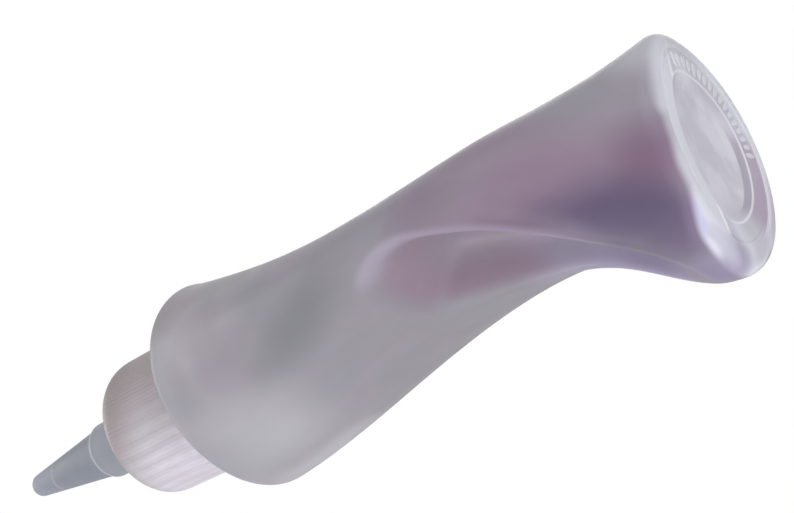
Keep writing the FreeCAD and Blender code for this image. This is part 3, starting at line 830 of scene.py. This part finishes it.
rawBottle = newPiece("rawBottle", buildBottle(), bottleMaterial)
runTree(rawBottle, threadTree(bottleMaterial), neckThread)
bottlePiece = bakedNodes(rawBottle, "squeezedBottle")
lineInside(bottlePiece, bottleInside)
smoothShading(bottlePiece, 38)
print("bottle:", len(bottlePiece.data.polygons), "faces")


# from and to in degrees, radius and sunk in mm
marks = {"Count": 17, "Length": 0.0036, "Width": 0.0015, "Height": 0.00029, "Long Every": 4,
         "from": 12.0, "to": 112.0, "radius": 20.7, "sunk": 0.06}


def markTree(material):
    nodes, entry = newTree("baseMarks", ["Count", "Length", "Width", "Height", "Long Every"])
    spaced = nodes.add("GeometryNodeResampleCurve",
                       named={"Curve": entry["Geometry"], "Count": entry["Count"]})
    spots = nodes.add("GeometryNodeCurveToPoints", spaced.outputs[0], mode="EVALUATED")
    shape = nodes.add("GeometryNodeMeshCone", named={
        "Vertices": 14, "Radius Top": 0.5, "Radius Bottom": 0.38, "Depth": 1.0})
    axes = nodes.axes(nodes.add("GeometryNodeInputPosition").outputs[0])
    turn = nodes.add("ShaderNodeCombineXYZ", 0.0, 0.0, nodes.maths("ARCTAN2", axes["Y"], axes["X"]))
    index = nodes.add("GeometryNodeInputIndex").outputs[0]
    isLong = nodes.maths("LESS_THAN", nodes.maths("MODULO", index, entry["Long Every"]), 0.5)
    length = nodes.times(entry["Length"], nodes.scaled(isLong, 0.2, 1.0))
    size = nodes.add("ShaderNodeCombineXYZ", length, entry["Width"], entry["Height"])
    placed = nodes.add("GeometryNodeInstanceOnPoints", named={
        "Points": spots.outputs["Points"], "Instance": shape.outputs["Mesh"],
        "Rotation": nodes.add("FunctionNodeEulerToRotation", turn.outputs[0]).outputs[0],
        "Scale": size.outputs[0]})
    return endTree(nodes, placed.outputs[0], material)


def buildMarks():
    line = bpy.data.curves.new("markLine", "CURVE")
    line.dimensions = "3D"
    ring = squeezedRing(marks["radius"], bottle["bandDepth"], 0)
    step = 360 / bottle["columns"]
    chosen = [point for index, point in enumerate(ring)
              if marks["from"] <= index * step <= marks["to"]]
    spline = line.splines.new("POLY")
    spline.points.add(len(chosen) - 1)
    lowered = bottle["bandDepth"] - marks["Height"] / mm + marks["sunk"]
    for spotOnLine, point in zip(spline.points, chosen):
        spotOnLine.co = (point[0] * mm, point[1] * mm, lowered * mm, 1)
    piece = linked("markLine", line)
    runTree(piece, markTree(markMaterial), marks)
    return bakedNodes(piece, "baseMarks")


marksPiece = buildMarks()
smoothShading(marksPiece, 40)
print("marks:", len(marksPiece.data.polygons), "faces")


cap = {"skirt": 19.9, "bore": 18.9, "topWall": 2.0, "rounding": 2.5, "holeRadius": 8.5,
       "columns": 660}


def ribTree(material):
    nodes, entry = newTree("capRibs", ["Count", "Depth", "Foot", "Top", "Least Radius"])
    axes, angle, radius, outward = fromAxis(nodes)
    count = nodes.times(nodes.maths("DIVIDE", angle, 2 * math.pi), entry["Count"])
    offCentre = nodes.minus(nodes.maths("FRACT", nodes.maths("ADD", count, 0.5)), 0.5)
    profile = nodes.softStep(nodes.maths("ABSOLUTE", offCentre), 0.40, 0.08)
    foot = nodes.softStep(axes["Z"], entry["Foot"], nodes.maths("ADD", entry["Foot"], 0.0007))
    top = nodes.softStep(axes["Z"], entry["Top"], nodes.minus(entry["Top"], 0.0016))
    skirt = nodes.maths("GREATER_THAN", radius, entry["Least Radius"])
    lift = nodes.times(nodes.times(profile, entry["Depth"]), nodes.times(foot, top, skirt))
    return endRaised(nodes, entry["Geometry"], outward, lift, material)


def buildCap():
    low, high = (corner.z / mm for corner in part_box("cap"))
    skirt, bore, hole = cap["skirt"], cap["bore"], cap["holeRadius"]
    ceiling = high - cap["topWall"]
    corners = [(bore, low, 0.2), (skirt, low, 0.25), (skirt, high, cap["rounding"]),
               (hole, high, 0.25), (hole, ceiling, 0.15), (bore, ceiling, 0.5)]
    threaded = {"from": low + 1.5, "to": high - 4.5, "rows": 0.42, "radius": bore}
    rows = divided(softCorners(corners, loop=True), 1.2, threaded, loop=True)
    insideFrom = next(index for index, row in enumerate(rows) if row[0] < hole + 0.01)
    rings = [ringOf(radius, height, cap["columns"]) for radius, height in rows]
    return meshFromRings("ribbedCap", rings, insideFrom)


capFoot, capTop = (corner.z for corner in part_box("cap"))
ribs = {"Count": 110, "Depth": 0.00013, "Foot": capFoot + 0.0006, "Top": capTop - 0.0019,
        "Least Radius": 0.0193}
capThread = {"Pitch": 0.00423, "Depth": -0.0010, "Width": 0.0019, "Foot": 0.1616, "Top": 0.1806,
             "Least Radius": 0.0184, "Most Radius": 0.0192, "Turn": 0.5}

rawCap = newPiece("rawCap", buildCap(), capMaterial)
runTree(rawCap, bpy.data.node_groups["screwThread"], capThread)
runTree(rawCap, ribTree(capMaterial), ribs)
capPiece = bakedNodes(rawCap, "ribbedCap")
lineInside(capPiece, capInside)
smoothShading(capPiece, 40)
print("cap:", len(capPiece.data.polygons), "faces")


nozzle = {"wall": 1.4, "flangeRadius": 17.0, "flangeWall": 1.2, "collarRadius": 8.4, "step": 0.75,
          "collarLength": 21.1, "tipRadius": 3.6, "tipRounding": 2.4, "tipBore": 2.0,
          "tipWall": 1.8, "markDrop": 12.7, "markDepth": 0.12, "markWidth": 0.8, "columns": 144}


def buildNozzle():
    low, high = (corner.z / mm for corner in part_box("nozzle"))
    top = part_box("cap")[1].z / mm
    flange, flangeTop = nozzle["flangeRadius"], low + nozzle["flangeWall"]
    collar, collarTop = nozzle["collarRadius"], top + nozzle["collarLength"]
    cone, tip = collar - nozzle["step"], nozzle["tipRadius"]
    tipEdge, tipFloor = high - nozzle["tipRounding"], high - nozzle["tipWall"]
    inner = collar - nozzle["wall"]

    def coneAt(height, depth=0.0):
        return tip + (cone - tip) / (tipEdge - collarTop) * (tipEdge - height) - depth

    mark = high - nozzle["markDrop"]
    markFoot, depth = mark - nozzle["markWidth"], nozzle["markDepth"]
    corners = [
        (0.25, high, 0), (tip - 0.15, high, nozzle["tipRounding"] - 0.1), (tip, tipEdge, 0.4),
        (coneAt(mark + 0.1), mark + 0.1, 0.1), (coneAt(mark, depth), mark - 0.1, 0.1),
        (coneAt(markFoot, depth), markFoot + 0.1, 0.1),
        (coneAt(markFoot - 0.1), markFoot - 0.1, 0.1), (cone, collarTop + 0.02, 0.18),
        (collar, collarTop, 0.22), (collar, flangeTop, 0.4), (flange, flangeTop, 0.15),
        (flange, low, 0.15), (inner, low, 0.3), (inner, top, 0.6),
        (cone - nozzle["wall"], collarTop, 0.8), (nozzle["tipBore"], tipFloor, 0.5),
        (0.25, tipFloor, 0)]
    rows = divided(softCorners(corners), 1.6)
    insideFrom = next(index for index, row in enumerate(rows) if row[1] < low + 0.01) + 4
    rings = [ringOf(radius, height, nozzle["columns"]) for radius, height in rows]
    return meshFromRings("longNozzle", rings, insideFrom, [(0, 0, high), (0, 0, tipFloor)])


nozzlePiece = newPiece("longNozzle", buildNozzle(), nozzleMaterial)
lineInside(nozzlePiece, nozzleInside)
smoothShading(nozzlePiece, 38)
print("nozzle:", len(nozzlePiece.data.polygons), "faces")


for piece, body, node, slot in (
        (bottlePiece, "bottle", "bottle", "bottle_plastic"),
        (capPiece, "cap", "cap", "cap_plastic"),
        (nozzlePiece, "nozzle", "nozzle", "nozzle_plastic")):
    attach(piece, body)
    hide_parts(node)
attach(marksPiece, "bottle")


studio = {"floorReach": 3.0, "floorFade": (0.75, 0.25), "floor": (0.86, 0.86, 0.87, 1),
          "floorGlow": 0.30, "air": (0.98, 0.98, 1.0, 1), "airStrength": 0.62,
          "white": (1, 1, 1, 1), "aim": (0, 0, 0.1)}


def paleFloor():
    # seen only from above, and clear to every ray but the camera's, so it never tints the bottle
    mesh = bpy.data.meshes.new("paleFloor")
    reach = studio["floorReach"]
    mesh.from_pydata([(-reach, -reach, 0), (reach, -reach, 0), (reach, reach, 0),
                      (-reach, reach, 0)], [], [(0, 1, 2, 3)])
    material, nodes, place = newMaterial("paleFloor")
    cameraRay = nodes.add("ShaderNodeLightPath").outputs["Is Camera Ray"]
    back = nodes.add("ShaderNodeNewGeometry").outputs["Backfacing"]
    shown = nodes.times(cameraRay, nodes.minus(1.0, back),
                        nodes.softStep(nodes.vector("LENGTH", place), *studio["floorFade"]))
    pale = nodes.add("ShaderNodeBsdfDiffuse", studio["floor"]).outputs[0]
    lit = nodes.add("ShaderNodeEmission", studio["white"], studio["floorGlow"]).outputs[0]
    bright = nodes.add("ShaderNodeAddShader", pale, lit).outputs[0]
    clear = nodes.add("ShaderNodeBsdfTransparent").outputs[0]
    mixed = nodes.add("ShaderNodeMixShader", shown, clear, bright).outputs[0]
    nodes.add("ShaderNodeOutputMaterial", mixed)
    floor = newPiece("paleFloor", mesh, material)


def studioWorld():
    world = bpy.data.worlds.new("studio")
    bpy.context.scene.world = world
    world.use_nodes = True
    world.node_tree.nodes.clear()
    nodes = Nodes(world.node_tree)
    path = nodes.add("ShaderNodeLightPath").outputs
    plain = nodes.maths("MAXIMUM", path["Is Camera Ray"], nodes.maths(
        "MAXIMUM", path["Is Glossy Ray"], path["Is Transmission Ray"]))
    soft = nodes.add("ShaderNodeBackground", studio["air"], studio["airStrength"]).outputs[0]
    white = nodes.add("ShaderNodeBackground", studio["white"], 1.0).outputs[0]
    mixed = nodes.add("ShaderNodeMixShader", plain, soft, white).outputs[0]
    nodes.add("ShaderNodeOutputWorld", mixed)


lamps = {
    "sideLamp": {"place": (-0.75, -0.75, 0.05), "size": 0.7, "power": 7.0},
    "lowLamp": {"place": (-0.25, -0.45, -0.85), "size": 0.5, "power": 4.0},
    "rimLamp": {"place": (0.85, -0.15, -0.35), "size": 0.8, "power": 4.0},
    "backLamp": {"place": (0.2, 0.95, 0.35), "size": 0.9, "power": 5.0},
    "topLamp": {"place": (0.35, -0.2, 1.2), "size": 0.8, "power": 5.0}}


def hangLamps():
    for name, lampValues in lamps.items():
        light = bpy.data.lights.new(name, "AREA")
        light.shape = "DISK"
        light.size = lampValues["size"]
        light.energy = lampValues["power"]
        lamp = linked(name, light)
        lamp.location = lampValues["place"]
        aim = Vector(studio["aim"]) - lamp.location
        lamp.rotation_euler = aim.to_track_quat("-Z", "Y").to_euler()


view = {"place": (0.01024, -0.2808, -0.1132), "climb": 35.07, "roll": -118.34, "lens": 63.5}


def aimCamera():
    data = bpy.data.cameras.new("camera")
    data.sensor_width = 36
    data.lens = view["lens"]
    data.clip_start = 0.01
    camera = linked("camera", data)
    climb, roll = math.radians(view["climb"]), math.radians(view["roll"])
    forward = Vector((0, math.cos(climb), math.sin(climb)))
    level, upright = Vector((1, 0, 0)), Vector((0, -math.sin(climb), math.cos(climb)))
    right = level * math.cos(roll) + upright * math.sin(roll)
    up = right.cross(forward)
    turn = Matrix((right, up, -forward)).transposed().to_4x4()
    camera.matrix_world = Matrix.Translation(view["place"]) @ turn
    bpy.context.scene.camera = camera


paleFloor()
studioWorld()
hangLamps()
aimCamera()
bpy.context.scene.view_settings.view_transform = "Standard"
print("studio set")

bpy.context.view_layer.update()
